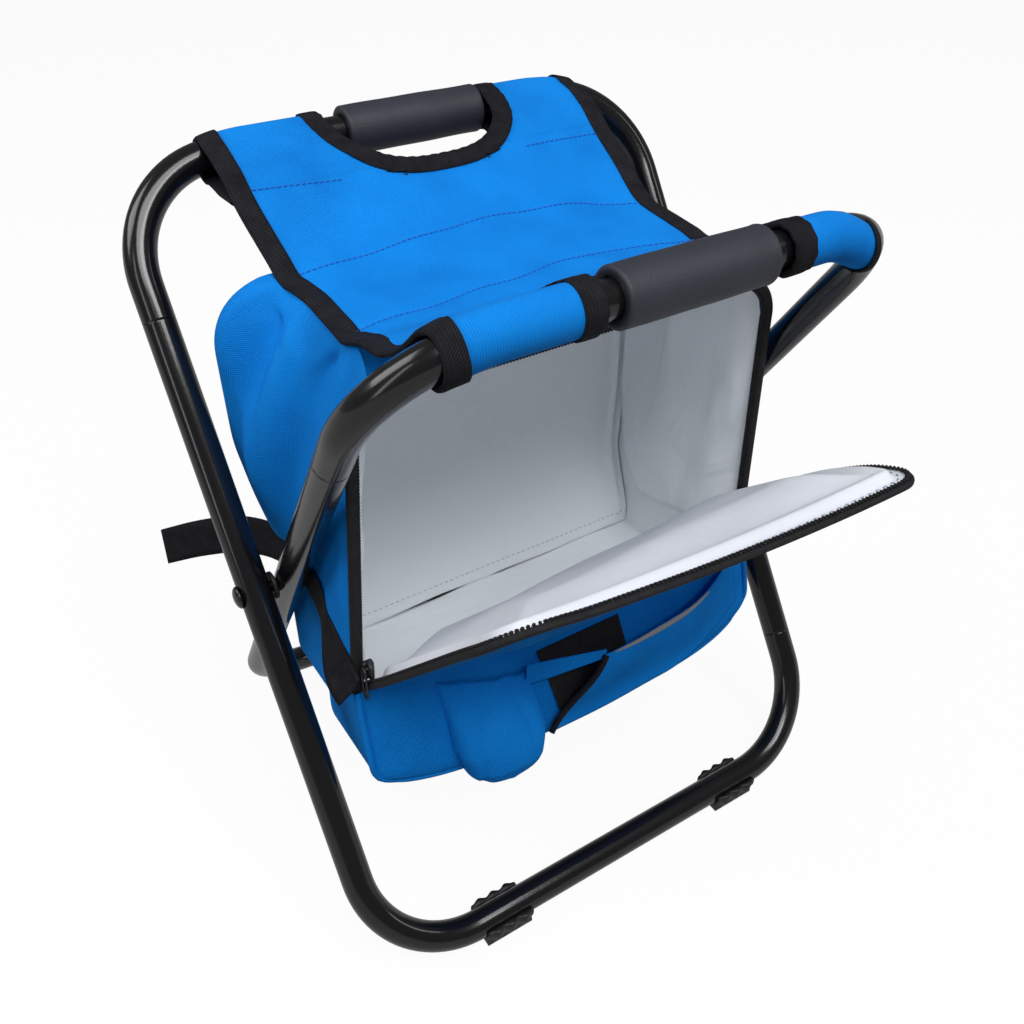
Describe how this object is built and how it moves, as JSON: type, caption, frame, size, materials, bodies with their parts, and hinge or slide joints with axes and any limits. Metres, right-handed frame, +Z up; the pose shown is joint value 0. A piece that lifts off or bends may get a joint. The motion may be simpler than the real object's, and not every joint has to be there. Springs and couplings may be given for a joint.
{
  "type": "folding cooler stool",
  "caption": "Folding stool on crossed tube hoops with a cloth sling seat, foam carry grips, and an insulated bag below it that has a zipped front door and outer pockets.",
  "frame": {"origin": "on the floor, under the middle of the stool's bounding box as it stands open with its door ajar", "axes": "+Z up, +X to the right as seen from the front, and the door faces -Y"},
  "size_m": [0.3854, 0.3358, 0.423],
  "materials": {
    "frame_paint": "gloss",
    "zinc_steel": "satin",
    "black_plastic": "satin",
    "grip_foam": "matte",
    "blue_cloth": "matte",
    "black_tape": "matte",
    "black_webbing": "matte",
    "pale_foam": "matte",
    "white_lining": "satin",
    "zip_tape": "matte",
    "zip_metal": "satin",
    "grey_tape": "satin"
  },
  "bodies": {
    "outer_frame": {"outer_upper_tube": "frame_paint", "outer_lower_tube": "frame_paint", "outer_seam_sleeve_left": "zinc_steel", "outer_seam_sleeve_right": "zinc_steel", "pivot_rivet_left": "zinc_steel", "pivot_rivet_right": "zinc_steel", "pivot_washer_left": "black_plastic", "pivot_washer_right": "black_plastic", "rear_grip": "grip_foam", "front_foot_left": "black_plastic", "front_foot_right": "black_plastic"},
    "inner_frame": {"inner_upper_tube": "frame_paint", "inner_lower_tube": "frame_paint", "inner_seam_sleeve_left": "zinc_steel", "inner_seam_sleeve_right": "zinc_steel", "front_grip": "grip_foam", "rear_foot_left": "black_plastic", "rear_foot_right": "black_plastic"},
    "seat_bag": {"seat_sling": "blue_cloth", "sling_edge_binding_left": "black_tape", "sling_edge_binding_right": "black_tape", "rear_cutout_binding": "black_tape", "front_cutout_binding": "black_tape", "bag_cover": "blue_cloth", "foam_left": "pale_foam", "foam_right": "pale_foam", "foam_bottom": "pale_foam", "foam_back": "pale_foam", "foam_front": "pale_foam", "foam_top": "pale_foam", "bag_lining": "white_lining", "front_panel_piping": "blue_cloth", "bottle_pocket": "blue_cloth", "accessory_pocket": "blue_cloth", "reflective_strip": "grey_tape", "body_zip_tape": "zip_tape", "side_strap_left": "black_webbing", "side_strap_right": "black_webbing", "strap_tail_left": "black_webbing", "strap_tail_right": "black_webbing"},
    "door": {"door_cover": "blue_cloth", "door_foam": "pale_foam", "door_lining": "white_lining", "door_zip_tape": "zip_tape"},
    "slider_left": {"zip_slider_left": "zip_metal"},
    "slider_right": {"zip_slider_right": "zip_metal"},
    "pull_left": {"zip_pull_left": "zip_metal"},
    "pull_right": {"zip_pull_right": "zip_metal"}
  },
  "joints": [
    {"name": "fold", "type": "hinge", "parent": "outer_frame", "child": "inner_frame", "pos_m": [0, 0.01888, 0.21063], "axis": [-1, 0, 0], "range_deg": [0, 56], "deforming": ["seat_sling", "sling_edge_binding_left", "sling_edge_binding_right", "rear_cutout_binding", "front_cutout_binding", "strap_tail_left", "strap_tail_right"]},
    {"name": "bag_swing", "type": "hinge", "parent": "outer_frame", "child": "seat_bag", "pos_m": [0, 0.01888, 0.21063], "axis": [-1, 0, 0], "range_deg": [0, 28]},
    {"name": "door_hinge", "type": "hinge", "parent": "seat_bag", "child": "door", "pos_m": [0, -0.04312, 0.172], "axis": [-1, 0, 0], "range_deg": [-57, 46.5]},
    {"name": "zip_left", "type": "slide", "parent": "seat_bag", "child": "slider_left", "axis": [0, 0, 1], "range_m": [0, 0.12]},
    {"name": "zip_right", "type": "slide", "parent": "seat_bag", "child": "slider_right", "axis": [0, 0, 1], "range_m": [0, 0.12]},
    {"name": "pull_swing_left", "type": "hinge", "parent": "slider_left", "child": "pull_left", "pos_m": [-0.1317, -0.05032, 0.1911], "axis": [-1, 0, 0], "range_deg": [0, 160]},
    {"name": "pull_swing_right", "type": "hinge", "parent": "slider_right", "child": "pull_right", "pos_m": [0.1317, -0.05032, 0.1911], "axis": [-1, 0, 0], "range_deg": [0, 160]}
  ],
  "couplings": [
    {"joint": "bag_swing", "follows": "fold", "ratio": 0.5}
  ]
}
